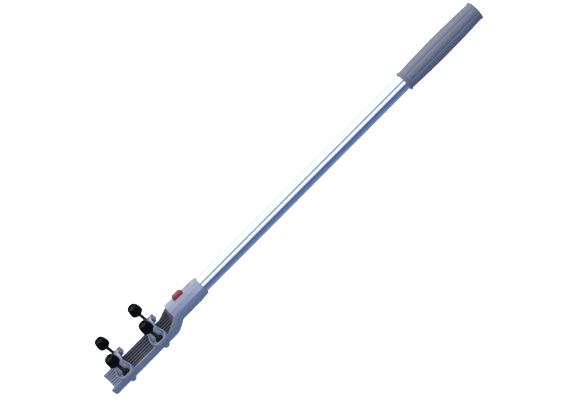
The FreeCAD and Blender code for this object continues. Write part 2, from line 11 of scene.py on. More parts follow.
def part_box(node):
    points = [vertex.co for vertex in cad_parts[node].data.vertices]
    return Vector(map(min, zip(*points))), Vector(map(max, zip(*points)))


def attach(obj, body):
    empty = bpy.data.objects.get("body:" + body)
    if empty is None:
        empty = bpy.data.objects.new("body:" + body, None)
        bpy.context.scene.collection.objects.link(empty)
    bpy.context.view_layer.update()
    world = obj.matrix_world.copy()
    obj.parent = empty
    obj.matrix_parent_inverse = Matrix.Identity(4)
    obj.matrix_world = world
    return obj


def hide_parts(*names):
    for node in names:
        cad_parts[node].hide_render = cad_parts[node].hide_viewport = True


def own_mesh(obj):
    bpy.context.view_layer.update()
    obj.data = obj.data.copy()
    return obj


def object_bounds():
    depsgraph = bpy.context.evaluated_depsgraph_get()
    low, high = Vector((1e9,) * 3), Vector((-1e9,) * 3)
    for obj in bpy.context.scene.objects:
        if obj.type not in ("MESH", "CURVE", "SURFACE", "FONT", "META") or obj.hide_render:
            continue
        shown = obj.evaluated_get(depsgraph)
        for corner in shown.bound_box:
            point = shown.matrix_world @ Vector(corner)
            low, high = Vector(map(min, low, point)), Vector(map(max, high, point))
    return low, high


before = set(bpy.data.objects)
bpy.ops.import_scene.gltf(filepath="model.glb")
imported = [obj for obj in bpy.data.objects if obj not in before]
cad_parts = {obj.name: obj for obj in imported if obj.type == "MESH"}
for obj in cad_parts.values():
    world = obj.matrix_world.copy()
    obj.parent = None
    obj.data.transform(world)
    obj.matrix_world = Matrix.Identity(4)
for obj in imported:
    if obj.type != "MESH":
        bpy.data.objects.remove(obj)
CAD_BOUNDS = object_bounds()

bl_info = {
    "name": "Tiller Extension Handle",
    "version": (1, 0, 0),
    "blender": (4, 5, 0),
    "location": "3D View > Sidebar > Tiller Handle",
    "description": "Builds the visible pieces of a clamp-on tiller extension handle",
    "category": "Object",
}

MILLIMETRE = 0.001
SCREWS = [end + "_" + side for end in ("open_end", "socket_end") for side in ("left", "right")]
TURN = 2.0 * math.pi
STREAK_DEPTH = 0.006 * MILLIMETRE
# Painted light: the liner's colour is made pale between these distances from the outer face of the open end's
# saddle.
PAINTED_LIGHT_FROM = 4.0 * MILLIMETRE
PAINTED_LIGHT_TO = -1.0 * MILLIMETRE
# The button's foot reaches this far past its shank at each end, and its head starts this far below its crown.
BUTTON_SHOULDER = 1.25 * MILLIMETRE
BUTTON_HEAD = 4.6 * MILLIMETRE
# Gaps between the button's shank and its slot, and between a stud and its insert.
SLOT_GAP = 0.2 * MILLIMETRE
STUD_GAP = 0.05 * MILLIMETRE
# The sky's colour and strength, and how far the camera's aim is from the middle of the handle's length.
SKY = (0.24, 0.37, 0.78, 1.0)
SKY_STRENGTH = 0.40
AIM_SHIFT = (-0.0052, -0.0020, 0.0013)


def screw_axis(screw):
    """The X and Y of a thumb-screw's axis, from the middle of its stud's box."""
    low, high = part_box(screw + "_stud")
    return (low.x + high.x) / 2.0, (low.y + high.y) / 2.0


def tube_axis_height():
    """Height of the tube's own axis, from the middle of its box."""
    low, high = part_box("handle_tube")
    return (low.z + high.z) / 2.0


# ---- settings ----


def colour(name, text, value):
    return FloatVectorProperty(name=name, description=text, default=value, subtype="COLOR", size=3,
                               min=0.0, max=1.0)


def length(name, text, value):
    return FloatProperty(name=name, description=text, default=value, min=0.0, unit="LENGTH", precision=5)


class FinishSettings(bpy.types.PropertyGroup):
    """Colours of the handle's finishes."""

    moulding: colour("Moulding", "Grey-blue nylon of the cradle and saddles", (0.40, 0.455, 0.56))
    rubber: colour("Liner rubber", "Ribbed liner in the cradle", (0.25, 0.262, 0.31))
    knob: colour("Knob plastic", "Black of the thumb knobs and collars", (0.0040, 0.0034, 0.0048))
    tube: colour("Tube", "Drawn aluminium", (0.76, 0.83, 0.95))
    grip: colour("Grip vinyl", "Soft fluted sleeve", (0.29, 0.30, 0.36))
    latch: colour("Latch red", "Push button and its plug", (0.50, 0.055, 0.075))
    steel: colour("Screw steel", "Dark plated studs and clips", (0.06, 0.052, 0.042))
    brass: colour("Brass", "Threaded inserts", (0.72, 0.52, 0.24))
    spring: colour("Spring wire", "Drawn spring steel", (0.55, 0.55, 0.58))


class ShapeSettings(bpy.types.PropertyGroup):
    """Sizes of detail that the plain solids leave out."""

    knob_flutes: IntProperty(name="Knob flutes", description="Finger flutes round each knob",
                             default=10, min=3)
    knob_flute_depth: length("Knob flute depth", "How deep the knob's flutes are", 0.0013)
    knob_edge: length("Knob edge", "Rounding of the knob's rims", 0.0009)
    thread_pitch: length("Thread pitch", "Pitch of the stud's thread", 0.0008)
    thread_depth: length("Thread depth", "Depth of the stud's thread", 0.00043)
    tube_wall: length("Tube wall", "Thickness of the tube's wall", 0.0014)
    grip_flutes: IntProperty(name="Grip flutes", description="Grooves along the grip", default=9, min=3)
    grip_flute_depth: length("Grip flute depth", "Depth of each groove along the grip", 0.0008)
    grip_flute_width: length("Grip flute width", "Width of each groove along the grip", 0.0024)
    spring_turns: FloatProperty(name="Spring turns", description="Working turns of the latch spring",
                                default=6.0, min=1.0)
    spring_wire: length("Spring wire", "Thickness of the spring's wire", 0.0008)
    knurl_depth: length("Knurl depth", "Depth of the knurls round each insert", 0.00022)
    knurls: IntProperty(name="Knurls", description="Ridges round each brass insert", default=24, min=6)
    liner_thickness: length("Liner thickness", "Rubber from its back to the ribs' tops", 0.0018)
    groove_depth: length("Liner groove depth", "Depth of the grooves between the liner's ribs", 0.0011)
    edge_softness: length("Edge softness", "Rounding seen on the edges of moulded pieces", 0.0009)


class StudioSettings(bpy.types.PropertyGroup):
    """Camera and lights."""

    elevation: FloatProperty(name="Elevation", description="Camera above the horizon",
                             default=math.radians(33.0), subtype="ANGLE")
    azimuth: FloatProperty(name="Azimuth", description="Camera's turn towards the cradle end",
                           default=math.radians(0.4), subtype="ANGLE")
    roll: FloatProperty(name="Roll", description="How far the tube leans in the view",
                        default=math.radians(44.88), subtype="ANGLE")
    distance: FloatProperty(name="Distance", description="Camera to the aimed point", default=1.985,
                            min=0.1, unit="LENGTH")
    lens: FloatProperty(name="Lens", description="Focal length in millimetres", default=86.9, min=1.0)
    floor_reach: FloatProperty(name="Floor reach", description="Floor's reach to each side", default=14.0,
                               min=1.0, unit="LENGTH")
    floor_drop: FloatProperty(name="Floor drop", description="Floor below the tube's axis", default=2.8,
                              min=0.05, unit="LENGTH")


# ---- surfaces ----


def grid_faces(rows, columns, round_rows=False):
    """Quads of a grid of points numbered row by row, each row joined end to start.

    With round_rows the last row is joined to the first as well.
    """
    row = np.arange(rows if round_rows else rows - 1)
    column = np.arange(columns)
    row, column = np.meshgrid(row, column, indexing="ij")
    below = row * columns
    above = (row + 1) % rows * columns
    beside = (column + 1) % columns
    quads = np.stack([below + column, below + beside, above + beside, above + column], axis=-1)
    return quads.reshape(-1, 4)


def turned_points(along, radius, angles, outward):
    """Turned surface: each (along, radius) pair carried round an axis.

    outward is added to the radius at each pair and angle, so flutes and threads are part of the formula.
    The result holds (along, across, up) for an axis that runs along.
    """
    radius = np.maximum(radius[:, None] + outward, 0.0)
    return np.stack([np.broadcast_to(along[:, None], radius.shape), radius * np.sin(angles),
                     radius * np.cos(angles)], axis=-1)


def upright(points, x, y):
    """Turn a surface made along X to stand on +Z at the point (x, y)."""
    return np.stack([points[..., 2] + x, points[..., 1] + y, points[..., 0]], axis=-1)


def softened(corners, radius, steps=4):
    """Profile through (along, radius) corners with each middle corner rounded by a short quadratic curve.

    The curve starts and ends at most radius away from the corner and never past the middle of a side.
    """
    corners = np.asarray(corners, float)
    before, here, after = corners[:-2], corners[1:-1], corners[2:]
    back, on = before - here, after - here
    back_length = np.linalg.norm(back, axis=1, keepdims=True)
    on_length = np.linalg.norm(on, axis=1, keepdims=True)
    start = here + back / back_length * np.minimum(radius, back_length * 0.48)
    end = here + on / on_length * np.minimum(radius, on_length * 0.48)
    t = np.linspace(0.0, 1.0, steps + 1)[None, :, None]
    curve = (1 - t) ** 2 * start[:, None] + 2 * t * (1 - t) * here[:, None] + t ** 2 * end[:, None]
    return np.concatenate([corners[:1], curve.reshape(-1, 2), corners[-1:]])


def resampled(profile, spacing):
    """The same profile with extra points on its long sides, so that no gap is over spacing."""
    gaps = np.linalg.norm(np.diff(profile, axis=0), axis=1)
    counts = np.maximum(np.ceil(gaps / spacing).astype(int), 1)
    starts = np.concatenate([[0.0], np.cumsum(gaps)])
    stations = np.concatenate([np.linspace(starts[i], starts[i + 1], counts[i], endpoint=False)
                               for i in range(len(counts))] + [starts[-1:]])
    return np.stack([np.interp(stations, starts, profile[:, 0]),
                     np.interp(stations, starts, profile[:, 1])], axis=1)


def surface(points, round_rows=False):
    """A grid of points with the quads that join them."""
    return points, grid_faces(*points.shape[:2], round_rows)


def add_piece(name, parts, body, nodes, finish, crease=math.radians(38.0)):
    """One closed object from (points, faces) parts, merged, facing outwards, riding on a body."""
    points = np.concatenate([part[0].reshape(-1, 3) for part in parts])
    offsets = np.cumsum([0] + [part[0].size // 3 for part in parts[:-1]])
    faces = np.concatenate([part[1] + offset for part, offset in zip(parts, offsets)])
    mesh = bpy.data.meshes.new(name)
    mesh.from_pydata(points.tolist(), [], faces.tolist())
    shell = bmesh.new()
    shell.from_mesh(mesh)
    bmesh.ops.remove_doubles(shell, verts=shell.verts, dist=2e-6)
    bmesh.ops.dissolve_degenerate(shell, edges=shell.edges, dist=1e-7)
    bmesh.ops.recalc_face_normals(shell, faces=shell.faces)
    shell.to_mesh(mesh)
    shell.free()
    mesh.shade_smooth()
    mesh.set_sharp_from_angle(angle=crease)
    mesh.materials.append(finish)
    piece = bpy.data.objects.new(name, mesh)
    bpy.context.scene.collection.objects.link(piece)
    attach(piece, body)
    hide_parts(*nodes)
    return piece


# ---- finishes ----


def new_finish(name):
    """An empty node finish: its tree, its shader and Object coordinates."""
    finish = bpy.data.materials.get(name) or bpy.data.materials.new(name)
    finish.use_nodes = True
    tree = finish.node_tree
    tree.nodes.clear()
    output = tree.nodes.new("ShaderNodeOutputMaterial")
    shader = tree.nodes.new("ShaderNodeBsdfPrincipled")
    tree.links.new(shader.outputs["BSDF"], output.inputs["Surface"])
    place = tree.nodes.new("ShaderNodeTexCoord")
    return finish, tree, shader, place.outputs["Object"]


def stretched(tree, coordinates, scale):
    """Coordinates scaled by a different amount along each axis."""
    mapping = tree.nodes.new("ShaderNodeMapping")
    mapping.inputs["Scale"].default_value = scale
    tree.links.new(coordinates, mapping.inputs["Vector"])
    return mapping.outputs["Vector"]


def noise(tree, coordinates, scale, detail=3.0, roughness=0.55):
    """A noise factor from 0 to 1."""
    node = tree.nodes.new("ShaderNodeTexNoise")
    node.inputs["Scale"].default_value = scale
    node.inputs["Detail"].default_value = detail
    node.inputs["Roughness"].default_value = roughness
    tree.links.new(coordinates, node.inputs["Vector"])
    return node.outputs["Fac"]


def blend_colours(tree, factor, stops):
    """A colour read from a ramp of (place, colour) stops."""
    ramp = tree.nodes.new("ShaderNodeValToRGB")
    elements = ramp.color_ramp.elements
    elements[0].position, elements[0].color = stops[0][0], (*stops[0][1], 1.0)
    elements[1].position, elements[1].color = stops[-1][0], (*stops[-1][1], 1.0)
    for place, tint in stops[1:-1]:
        elements.new(place).color = (*tint, 1.0)
    tree.links.new(factor, ramp.inputs["Fac"])
    return ramp.outputs["Color"]


def remapped(tree, value, start, end, low=0.0, high=1.0):
    """A value between start and end spread over low to high, and held at those past the ends."""
    node = tree.nodes.new("ShaderNodeMapRange")
    node.inputs["From Min"].default_value = start
    node.inputs["From Max"].default_value = end
    node.inputs["To Min"].default_value = low
    node.inputs["To Max"].default_value = high
    tree.links.new(value, node.inputs["Value"])
    return node.outputs["Result"]


def ranged(tree, factor, low, high):
    """A noise factor's usual reach, from 0.3 to 0.7, spread over low to high."""
    return remapped(tree, factor, 0.3, 0.7, low, high)


def relief(tree, shader, height, distance, strength, edge=0.0):
    """Bump the surface by a height factor over distance, on edges rounded by edge."""
    bump = tree.nodes.new("ShaderNodeBump")
    bump.inputs["Distance"].default_value = distance
    bump.inputs["Strength"].default_value = strength
    tree.links.new(height, bump.inputs["Height"])
    if edge > 0.0:
        rounding = tree.nodes.new("ShaderNodeBevel")
        rounding.samples = 6
        rounding.inputs["Radius"].default_value = edge
        tree.links.new(rounding.outputs["Normal"], bump.inputs["Normal"])
    tree.links.new(bump.outputs["Normal"], shader.inputs["Normal"])


def shade(tint, share):
    """A tint made lighter or darker by a share of itself."""
    return tuple(min(max(channel * share, 0.0), 1.0) for channel in tint)


def moulded_finish(name, tint, roughness, edge, spread=0.07, grain=0.00004, grain_scale=1800.0,
                   specular=0.5):
    """Moulded plastic: faint flow mottling, a fine grain and softly worn, slightly lighter scuffs."""
    finish, tree, shader, place = new_finish(name)
    clouds = noise(tree, place, 55.0, 4.0)
    tones = [(0.25, shade(tint, 1.0 - spread)), (0.52, tint), (0.80, shade(tint, 1.0 + spread))]
    tree.links.new(blend_colours(tree, clouds, tones), shader.inputs["Base Color"])
    scuffs = noise(tree, stretched(tree, place, (0.25, 1.0, 1.0)), 420.0, 5.0, 0.6)
    tree.links.new(ranged(tree, scuffs, roughness - 0.06, roughness + 0.08), shader.inputs["Roughness"])
    shader.inputs["Specular IOR Level"].default_value = specular
    relief(tree, shader, noise(tree, place, grain_scale, 2.0), grain, 0.55, edge)
    return finish


def axis_distance(tree, coordinates):
    """Distance from the tiller's axis: the length of the coordinates with X taken out."""
    flattened = stretched(tree, coordinates, (0.0, 1.0, 1.0))
    node = tree.nodes.new("ShaderNodeVectorMath")
    node.operation = "LENGTH"
    tree.links.new(flattened, node.inputs[0])
    return node.outputs["Value"]


def mixed(tree, factor, first, second):
    """The first colour turning into the second as the factor goes from 0 to 1."""
    node = tree.nodes.new("ShaderNodeMix")
    node.data_type = "RGBA"
    tree.links.new(factor, node.inputs["Factor"])
    for name, source in (("A", first), ("B", second)):
        entry = next(socket for socket in node.inputs if socket.name == name and socket.type == "RGBA")
        tree.links.new(source, entry)
    return next(socket for socket in node.outputs if socket.type == "RGBA")


def rubber_finish(name, tint, rib_radius, groove_radius, painted_light_from, painted_light_to):
    """Matt rubber with a bloom drawn out along its ribs, and painted shade making the grooves between them
    dark.

    The ribs' tops are rib_radius from the tiller's axis and the grooves' floors groove_radius.  Painted light
    makes the rubber paler along X, none of it at the fifth argument and all of it at the sixth.
    """
    finish, tree, shader, place = new_finish(name)
    bloom = noise(tree, stretched(tree, place, (0.15, 1.0, 1.0)), 260.0, 5.0)
    ribs = blend_colours(tree, bloom, [(0.28, shade(tint, 0.82)), (0.55, tint), (0.82, shade(tint, 1.3))])
    # Painted light: a much paler copy of the rib colour, for the lit open end of the liner.
    painted_lit_ribs = blend_colours(tree, bloom,
                         [(0.28, shade(tint, 2.1)), (0.55, shade(tint, 2.45)), (0.82, shade(tint, 2.8))])
    # Painted shade: the grooves are coloured far darker than the ribs, for the shade that falls in them.
    grooves = blend_colours(tree, bloom, [(0.3, shade(tint, 0.13)), (0.7, shade(tint, 0.2))])
    # Painted light on the grooves as well: their paler copy for the lit open end.
    painted_lit_grooves = blend_colours(tree, bloom, [(0.3, shade(tint, 0.9)), (0.7, shade(tint, 1.3))])
    along = tree.nodes.new("ShaderNodeSeparateXYZ")
    tree.links.new(place, along.inputs["Vector"])
    # Share of the painted light, rising along X between the two given places.
    painted_light_share = remapped(tree, along.outputs["X"], painted_light_from, painted_light_to)
    ribs = mixed(tree, painted_light_share, ribs, painted_lit_ribs)
    grooves = mixed(tree, painted_light_share, grooves, painted_lit_grooves)
    # Painted shade mask: 0 on the ribs' tops, rising to 1 on the grooves' floors.
    span = groove_radius - rib_radius
    depth = remapped(tree, axis_distance(tree, place), rib_radius + 0.2 * span, rib_radius + 0.8 * span)
    tree.links.new(mixed(tree, depth, ribs, grooves), shader.inputs["Base Color"])
    tree.links.new(ranged(tree, noise(tree, place, 300.0), 0.50, 0.68), shader.inputs["Roughness"])
    shader.inputs["Specular IOR Level"].default_value = 0.4
    relief(tree, shader, noise(tree, place, 2600.0, 2.0), 0.00005, 0.6, 0.0002)
    return finish


def vinyl_finish(name, tint):
    """Soft vinyl sleeve: broad tone drift along its length, fine pores and a low sheen."""
    finish, tree, shader, place = new_finish(name)
    drift = noise(tree, stretched(tree, place, (0.35, 1.0, 1.0)), 38.0, 4.0)
    tones = [(0.25, shade(tint, 0.93)), (0.52, tint), (0.80, shade(tint, 1.08))]
    tree.links.new(blend_colours(tree, drift, tones), shader.inputs["Base Color"])
    tree.links.new(ranged(tree, noise(tree, place, 520.0, 4.0), 0.44, 0.58), shader.inputs["Roughness"])
    shader.inputs["Specular IOR Level"].default_value = 0.45
    shader.inputs["Sheen Weight"].default_value = 0.08
    relief(tree, shader, noise(tree, place, 1500.0, 3.0), 0.00006, 0.5)
    return finish


def drawn_metal_finish(name, tint, roughness, streak=(0.02, 1.0, 1.0)):
    """Drawn or plated metal: streaks along the drawing direction in tone, gloss and relief."""
    finish, tree, shader, place = new_finish(name)
    lines = noise(tree, stretched(tree, place, streak), 900.0, 4.0)
    tree.links.new(blend_colours(tree, lines, [(0.3, shade(tint, 0.95)), (0.7, shade(tint, 1.04))]),
                   shader.inputs["Base Color"])
    tree.links.new(ranged(tree, lines, roughness * 0.85, roughness * 1.2), shader.inputs["Roughness"])
    shader.inputs["Metallic"].default_value = 1.0
    relief(tree, shader, lines, STREAK_DEPTH, 0.4)
    return finish


# ---- operators ----


class PieceOperator:
    """What every operator here shares."""

    bl_options = {"REGISTER", "UNDO"}


class TILLER_OT_mouldings(PieceOperator, bpy.types.Operator):
    """Give the cradle, saddles, liner and latch plug their finishes"""

    bl_idname = "tiller.mouldings"
    bl_label = "Mouldings"

    def execute(self, context):
        tints, shapes = context.scene.tiller_finish, context.scene.tiller_shape
        liner_low, liner_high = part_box("tiller_liner")
        saddle_low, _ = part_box("open_end_saddle")
        ribs = (liner_high.y - liner_low.y) / 2.0 - shapes.liner_thickness
        nylon = moulded_finish("grey_nylon", tints.moulding, 0.27, shapes.edge_softness,
                               specular=0.8)
        finishes = {
            "cradle_body": nylon,
            "open_end_saddle": nylon,
            "socket_end_saddle": nylon,
            # The liner's finish has painted light past the open end's saddle and painted shade in its
            # grooves.
            "tiller_liner": rubber_finish("liner_rubber", tints.rubber, ribs, ribs + shapes.groove_depth,
                                          saddle_low.x + PAINTED_LIGHT_FROM, saddle_low.x + PAINTED_LIGHT_TO),
            "latch_plug": moulded_finish("plug_plastic", tints.latch, 0.40, shapes.edge_softness),
        }
        for node, finish in finishes.items():
            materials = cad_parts[node].data.materials
            materials.clear()
            materials.append(finish)
        return {"FINISHED"}


class TILLER_OT_knobs(PieceOperator, bpy.types.Operator):
    """Build the four fluted thumb knobs

    Each is a rounded profile carried round the stud's axis, less a raised cosine in angle for the flutes.
    The flutes fade in over the cone and out again inside the rim.
    """

    bl_idname = "tiller.knobs"
    bl_label = "Thumb knobs"

    def execute(self, context):
        shapes = context.scene.tiller_shape
        finish = moulded_finish("knob_plastic", context.scene.tiller_finish.knob, 0.30, 0.0, spread=0.2,
                                grain=0.00002, grain_scale=2200.0, specular=0.16)
        angles = np.linspace(0.0, TURN, shapes.knob_flutes * 16, endpoint=False)
        for screw in SCREWS:
            low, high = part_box(screw + "_knob")
            stud_low, stud_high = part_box(screw + "_stud")
            rim = (high.x - low.x) / 2.0
            bore = (stud_high.x - stud_low.x) / 2.0
            shoulder = low.z + (high.z - low.z) * 0.25
            # From the stud's top down the bore, out along the cone, round the rim and into the hollow top.
            profile = softened([
                (stud_high.z, 0.0), (stud_high.z, bore), (low.z, bore), (low.z, rim * 0.38),
                (low.z + (shoulder - low.z) * 0.35, rim * 0.46), (shoulder, rim * 0.95),
                (shoulder + 0.0014, rim), (high.z - 0.0080, rim * 0.985), (high.z - 0.0024, rim * 0.87),
                (high.z, rim * 0.74), (high.z, rim * 0.60), (high.z - 0.0026, rim * 0.50),
                (high.z - 0.0028, 0.0)], shapes.knob_edge)
            profile = resampled(profile, spacing=0.8 * MILLIMETRE)
            along, radius = profile[:, 0], profile[:, 1]
            wave = (0.5 + 0.5 * np.cos(shapes.knob_flutes * angles)) ** 1.6
            outside = np.clip((radius - rim * 0.72) / (rim * 0.16), 0.0, 1.0)
            above = np.clip((along - shoulder + 0.003) / 0.003, 0.0, 1.0)
            depth = shapes.knob_flute_depth * (outside * above)[:, None]
            points = turned_points(along, radius, angles, -depth * wave[None, :])
            points = upright(points, *screw_axis(screw))
            add_piece(screw + "_fluted_knob", [surface(points)], screw + "_screw", [screw + "_knob"], finish)
        return {"FINISHED"}


class TILLER_OT_studs(PieceOperator, bpy.types.Operator):
    """Build the four threaded studs

    Each is a cylinder about its axis, less a triangle wave for the thread.  The wave climbs one pitch in each
    turn, runs out below the knob and starts from a tapered lead.
    """

    bl_idname = "tiller.studs"
    bl_label = "Threaded studs"

    def execute(self, context):
        shapes = context.scene.tiller_shape
        finish = drawn_metal_finish("plated_steel", context.scene.tiller_finish.steel, 0.36,
                                    streak=(1.0, 1.0, 0.2))
        angles = np.linspace(0.0, TURN, 36, endpoint=False)
        for screw in SCREWS:
            low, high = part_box(screw + "_stud")
            knob_low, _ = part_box(screw + "_knob")
            outer = (high.x - low.x) / 2.0
            stations = np.arange(low.z, knob_low.z, shapes.thread_pitch / 8.0)
            along = np.concatenate([[low.z], stations, [knob_low.z, high.z, high.z]])
            radius = np.concatenate([[0.0], np.full(len(stations), outer), [outer, outer, 0.0]])
            phase = np.mod(along[:, None] / shapes.thread_pitch - angles[None, :] / TURN, 1.0)
            groove = 1.0 - np.abs(2.0 * phase - 1.0)
            runout = np.clip((knob_low.z - along) / shapes.thread_pitch, 0.0, 1.0)
            lead = np.clip(1.0 - (along - low.z) / (2.0 * shapes.thread_pitch), 0.0, 1.0)
            outward = -shapes.thread_depth * (groove * runout[:, None] + 0.6 * lead[:, None])
            points = upright(turned_points(along, radius, angles, outward), *screw_axis(screw))
            add_piece(screw + "_threaded_stud", [surface(points)], screw + "_screw", [screw + "_stud"],
                      finish, math.radians(70.0))
        return {"FINISHED"}


class TILLER_OT_collars(PieceOperator, bpy.types.Operator):
    """Build the collars that bear on the saddles and the open clips that hold the studs in them

    A collar is a closed, rounded section carried a full turn round the stud.  A clip's section is carried
    seven eighths of a turn and shrinks to a point at each end.
    """

    bl_idname = "tiller.collars"
    bl_label = "Collars and clips"

    def execute(self, context):
        tints = context.scene.tiller_finish
        plastic = moulded_finish("collar_plastic", tints.knob, 0.32, 0.0, spread=0.2, specular=0.2)
        steel = bpy.data.materials["plated_steel"]
        angles = np.linspace(0.0, TURN, 72, endpoint=False)
        for screw in SCREWS:
            x, y = screw_axis(screw)
            bore = (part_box(screw + "_stud")[1].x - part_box(screw + "_stud")[0].x) / 2.0
            low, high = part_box(screw + "_collar")
            rim, thick = (high.x - low.x) / 2.0, high.z - low.z
            half_way = (low.z + thick / 2, bore)
            loop = softened([half_way, (low.z, bore), (low.z, rim), (low.z + thick * 0.6, rim),
                             (high.z, rim * 0.8), (high.z, bore), half_way], thick * 0.12)
            ring = upright(turned_points(loop[:-1, 0], loop[:-1, 1], angles, 0.0 * angles[None, :]), x, y)
            add_piece(screw + "_bearing_collar", [surface(ring, round_rows=True)], screw + "_screw",
                      [screw + "_collar"], plastic)
            low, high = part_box(screw + "_clip")
            rim, thick = (high.x - low.x) / 2.0, high.z - low.z
            half_way = (low.z + thick / 2, bore)
            loop = softened([half_way, (low.z, bore), (low.z, rim), (high.z, rim), (high.z, bore), half_way],
                            thick * 0.2)[:-1]
            open_angles = np.linspace(0.06 * TURN, 0.94 * TURN, 64)
            middle = loop.mean(axis=0)
            size = np.ones(len(open_angles))
            size[0] = size[-1] = 0.0
            section = middle + (loop - middle)[None] * size[:, None, None]
            arc = np.stack([x + section[..., 1] * np.cos(open_angles)[:, None],
                            y + section[..., 1] * np.sin(open_angles)[:, None], section[..., 0]], axis=-1)
            add_piece(screw + "_open_clip", [surface(arc)], screw + "_screw", [screw + "_clip"], steel)
        return {"FINISHED"}


class TILLER_OT_inserts(PieceOperator, bpy.types.Operator):
    """Build the four knurled brass inserts

    Each is a closed section carried round its axis.  Two bands of its outside lose a cosine in angle for the
    straight knurls, and a plain band is left in the middle and at each end.
    """

    bl_idname = "tiller.inserts"
    bl_label = "Threaded inserts"

    def execute(self, context):
        shapes = context.scene.tiller_shape
        finish = drawn_metal_finish("turned_brass", context.scene.tiller_finish.brass, 0.28,
                                    streak=(1.0, 1.0, 0.05))
        low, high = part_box("threaded_inserts")
        angles = np.linspace(0.0, TURN, shapes.knurls * 6, endpoint=False)
        parts = []
        reach = max(abs(screw_axis(screw)[0]) for screw in SCREWS)
        for screw in SCREWS:
            x, y = screw_axis(screw)
            rim = high.x - reach
            bore = (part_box(screw + "_stud")[1].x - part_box(screw + "_stud")[0].x) / 2.0 + STUD_GAP
            loop = resampled(softened([(low.z, (bore + rim) / 2), (low.z, rim), (high.z, rim), (high.z, bore),
                                       (low.z, bore), (low.z, (bore + rim) / 2)], 0.0003), 0.0005)[:-1]
            share = (loop[:, 0] - low.z) / (high.z - low.z)
            band = np.clip(np.abs(np.sin(TURN * share)) * 3.0 - 0.6, 0.0, 1.0) * (loop[:, 1] > rim * 0.97)
            ridges = 0.5 + 0.5 * np.cos(shapes.knurls * angles)
            sink = shapes.knurl_depth * band[:, None] * ridges[None, :]
            ring = upright(turned_points(loop[:, 0], loop[:, 1], angles, -sink), x, y)
            parts.append(surface(ring, round_rows=True))
        add_piece("knurled_inserts", parts, "handle", ["threaded_inserts"], finish)
        return {"FINISHED"}


class TILLER_OT_tube(PieceOperator, bpy.types.Operator):
    """Build the drawn aluminium tube with the latch button's slot

    Two cylinders on one grid of stations and angles, outer and inner, without the cells over the slot.  Walls
    join them wherever a kept cell borders the slot or an end.
    """

    bl_idname = "tiller.tube"
    bl_label = "Tube"

    def execute(self, context):
        finish = drawn_metal_finish("drawn_aluminium", context.scene.tiller_finish.tube, 0.16)
        low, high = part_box("handle_tube")
        outer = (high.y - low.y) / 2.0
        inner = outer - context.scene.tiller_shape.tube_wall
        button_low, button_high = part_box("latch_button")
        shank_half = (button_high.y - button_low.y) / 2.0 + SLOT_GAP
        slot_start = button_low.x + BUTTON_SHOULDER - SLOT_GAP
        slot_end = button_high.x - BUTTON_SHOULDER + SLOT_GAP
        slot_angle = math.asin(shank_half / outer)
        angles = np.concatenate([np.linspace(-slot_angle, slot_angle, 9),
                                 np.linspace(slot_angle, TURN - slot_angle, 89)[1:-1]])
        stations = np.concatenate([[low.x], np.linspace(slot_start, slot_end, 5),
                                   np.linspace(slot_end, high.x, 25)[1:]])
        flat = np.zeros((len(stations), len(angles)))
        points = np.stack([turned_points(stations, np.full(len(stations), radius), angles, flat)
                           for radius in (outer, inner)])
        points[..., 2] += tube_axis_height()
        count = flat.size
        solid = np.ones((len(stations) - 1, len(angles)), bool)
        solid[1:5, 0:8] = False
        quads = grid_faces(*flat.shape)
        kept = quads[solid.ravel()]
        edges = np.stack([kept, np.roll(kept, -1, axis=1)], axis=-1).reshape(-1, 2)
        ordered = np.sort(edges, axis=1)
        _, first, uses = np.unique(ordered, axis=0, return_index=True, return_counts=True)
        rims = edges[first[uses == 1]]
        sides = np.stack([rims[:, 0], rims[:, 1], rims[:, 1] + count, rims[:, 0] + count], axis=1)
        faces = np.concatenate([kept, kept[:, ::-1] + count, sides])
        add_piece("drawn_tube", [(points, faces)], "handle", ["handle_tube"], finish)
        return {"FINISHED"}


